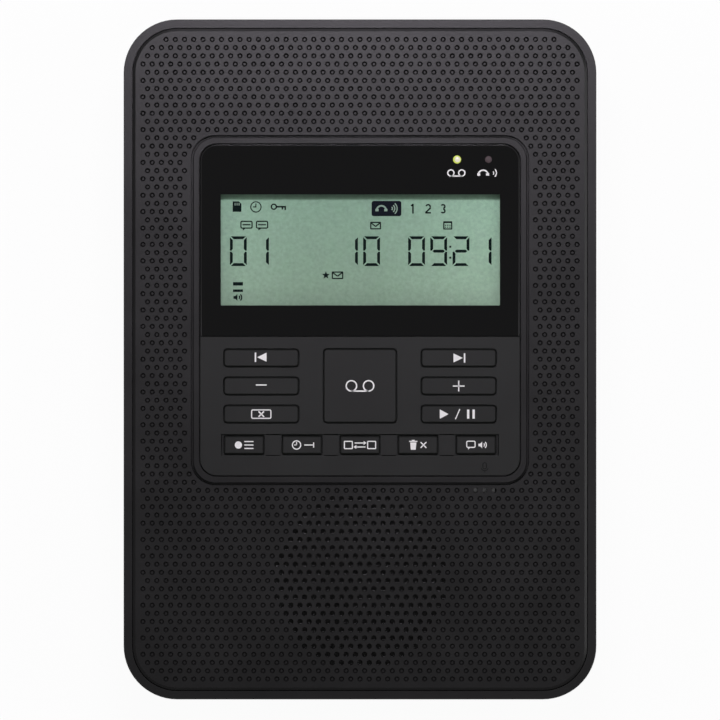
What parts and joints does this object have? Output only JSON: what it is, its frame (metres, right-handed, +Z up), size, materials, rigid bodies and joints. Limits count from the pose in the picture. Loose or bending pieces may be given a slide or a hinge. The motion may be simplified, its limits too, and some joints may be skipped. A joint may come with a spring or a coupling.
{
  "type": "answering machine",
  "caption": "Flat desk telephone answering machine with a perforated face, a display window, press keys, a speaker grille and sockets in its rear edge.",
  "frame": {"origin": "on the desk, under the middle of the case", "axes": "+X to the right of the face, +Y along the length to the edge with the sockets, +Z up out of the face"},
  "size_m": [0.13, 0.187, 0.037],
  "materials": {
    "case_plastic": "moulded black plastic with a fine satin grain",
    "panel_plastic": "moulded black plastic with a fine satin grain, dimpled all over",
    "plate_plastic": "matt black moulded plastic",
    "key_plastic": "matt black moulded plastic with white printed signs",
    "window_acrylic": "polished clear acrylic, black behind except over the display",
    "mask_film": "black printed film",
    "frame_plastic": "black moulded plastic",
    "display_cell": "pale green liquid crystal cell with black segments",
    "light_guide": "milky light guide",
    "strip_rubber": "pink conductive rubber",
    "led_lens": "round indicator lenses, one lit yellow-green, one unlit",
    "mat_rubber": "grey silicone rubber",
    "board_laminate": "green solder-masked laminate",
    "screw_steel": "zinc-plated steel",
    "cable_plastic": "off-white flat cable and plugs",
    "grille_cloth": "black woven dust cloth",
    "gasket_foam": "black foam",
    "basket_steel": "pressed plated steel",
    "cone_paper": "black paper cone",
    "magnet_ferrite": "ferrite ring between steel plates",
    "wire_plastic": "thin insulated wires and their white plug",
    "capsule_metal": "bright aluminium capsule",
    "boot_rubber": "black rubber",
    "socket_plastic": "black moulded socket housings",
    "shield_steel": "bright stamped steel shield",
    "transformer_steel": "laminated core with taped winding",
    "relay_plastic": "orange relay cover",
    "chip_plastic": "black chip packages",
    "capacitor_sleeve": "dark blue sleeved cans",
    "cell_steel": "stainless steel coin cell",
    "clip_steel": "plated spring clip",
    "foot_rubber": "black rubber feet"
  },
  "bodies": {
    "case": {"front_cover": "case_plastic", "grille_panel": "panel_plastic", "control_bezel": "case_plastic", "key_plate": "plate_plastic", "display_window": "window_acrylic", "window_mask": "mask_film", "lcd_holder": "frame_plastic", "lcd_glass": "display_cell", "lcd_backlight": "light_guide", "lcd_connector": "strip_rubber", "status_leds": "led_lens", "rubber_keymat": "mat_rubber", "key_board": "board_laminate", "key_board_screws": "screw_steel", "board_link": "cable_plastic", "speaker_cloth": "grille_cloth", "speaker_gasket": "gasket_foam", "speaker_basket": "basket_steel", "speaker_cone": "cone_paper", "speaker_magnet": "magnet_ferrite", "speaker_screws": "screw_steel", "speaker_lead": "wire_plastic", "microphone": "capsule_metal", "mic_boot": "boot_rubber", "main_board": "board_laminate", "main_board_screws": "screw_steel", "dc_jack": "socket_plastic", "line_jack": "socket_plastic", "phone_jack": "socket_plastic", "card_socket": "shield_steel", "line_transformer": "transformer_steel", "line_relay": "relay_plastic", "board_chips": "chip_plastic", "board_capacitors": "capacitor_sleeve", "clock_battery": "cell_steel", "battery_clip": "clip_steel", "rear_cover": "case_plastic", "rubber_feet": "foot_rubber", "case_screws": "screw_steel"},
    "key_skip_back": {"key_skip_back": "key_plastic"},
    "key_volume_down": {"key_volume_down": "key_plastic"},
    "key_cancel": {"key_cancel": "key_plastic"},
    "key_skip_forward": {"key_skip_forward": "key_plastic"},
    "key_volume_up": {"key_volume_up": "key_plastic"},
    "key_play_pause": {"key_play_pause": "key_plastic"},
    "key_answer_on": {"key_answer_on": "key_plastic"},
    "key_register": {"key_register": "key_plastic"},
    "key_timer": {"key_timer": "key_plastic"},
    "key_display": {"key_display": "key_plastic"},
    "key_erase": {"key_erase": "key_plastic"},
    "key_greeting": {"key_greeting": "key_plastic"}
  },
  "joints": [
    {"name": "skip_back_press", "type": "slide", "parent": "case", "child": "key_skip_back", "axis": [0, 0, 1], "range_m": [-0.0008, 0], "stiffness_N_per_m": 800, "springref_m": 0.0006, "deforming": ["rubber_keymat"]},
    {"name": "volume_down_press", "type": "slide", "parent": "case", "child": "key_volume_down", "axis": [0, 0, 1], "range_m": [-0.0008, 0], "stiffness_N_per_m": 800, "springref_m": 0.0006, "deforming": ["rubber_keymat"]},
    {"name": "cancel_press", "type": "slide", "parent": "case", "child": "key_cancel", "axis": [0, 0, 1], "range_m": [-0.0008, 0], "stiffness_N_per_m": 800, "springref_m": 0.0006, "deforming": ["rubber_keymat"]},
    {"name": "skip_forward_press", "type": "slide", "parent": "case", "child": "key_skip_forward", "axis": [0, 0, 1], "range_m": [-0.0008, 0], "stiffness_N_per_m": 800, "springref_m": 0.0006, "deforming": ["rubber_keymat"]},
    {"name": "volume_up_press", "type": "slide", "parent": "case", "child": "key_volume_up", "axis": [0, 0, 1], "range_m": [-0.0008, 0], "stiffness_N_per_m": 800, "springref_m": 0.0006, "deforming": ["rubber_keymat"]},
    {"name": "play_pause_press", "type": "slide", "parent": "case", "child": "key_play_pause", "axis": [0, 0, 1], "range_m": [-0.0008, 0], "stiffness_N_per_m": 800, "springref_m": 0.0006, "deforming": ["rubber_keymat"]},
    {"name": "answer_on_press", "type": "slide", "parent": "case", "child": "key_answer_on", "axis": [0, 0, 1], "range_m": [-0.0008, 0], "stiffness_N_per_m": 800, "springref_m": 0.0006, "deforming": ["rubber_keymat"]},
    {"name": "register_press", "type": "slide", "parent": "case", "child": "key_register", "axis": [0, 0, 1], "range_m": [-0.0008, 0], "stiffness_N_per_m": 800, "springref_m": 0.0006, "deforming": ["rubber_keymat"]},
    {"name": "timer_press", "type": "slide", "parent": "case", "child": "key_timer", "axis": [0, 0, 1], "range_m": [-0.0008, 0], "stiffness_N_per_m": 800, "springref_m": 0.0006, "deforming": ["rubber_keymat"]},
    {"name": "display_press", "type": "slide", "parent": "case", "child": "key_display", "axis": [0, 0, 1], "range_m": [-0.0008, 0], "stiffness_N_per_m": 800, "springref_m": 0.0006, "deforming": ["rubber_keymat"]},
    {"name": "erase_press", "type": "slide", "parent": "case", "child": "key_erase", "axis": [0, 0, 1], "range_m": [-0.0008, 0], "stiffness_N_per_m": 800, "springref_m": 0.0006, "deforming": ["rubber_keymat"]},
    {"name": "greeting_press", "type": "slide", "parent": "case", "child": "key_greeting", "axis": [0, 0, 1], "range_m": [-0.0008, 0], "stiffness_N_per_m": 800, "springref_m": 0.0006, "deforming": ["rubber_keymat"]}
  ]
}
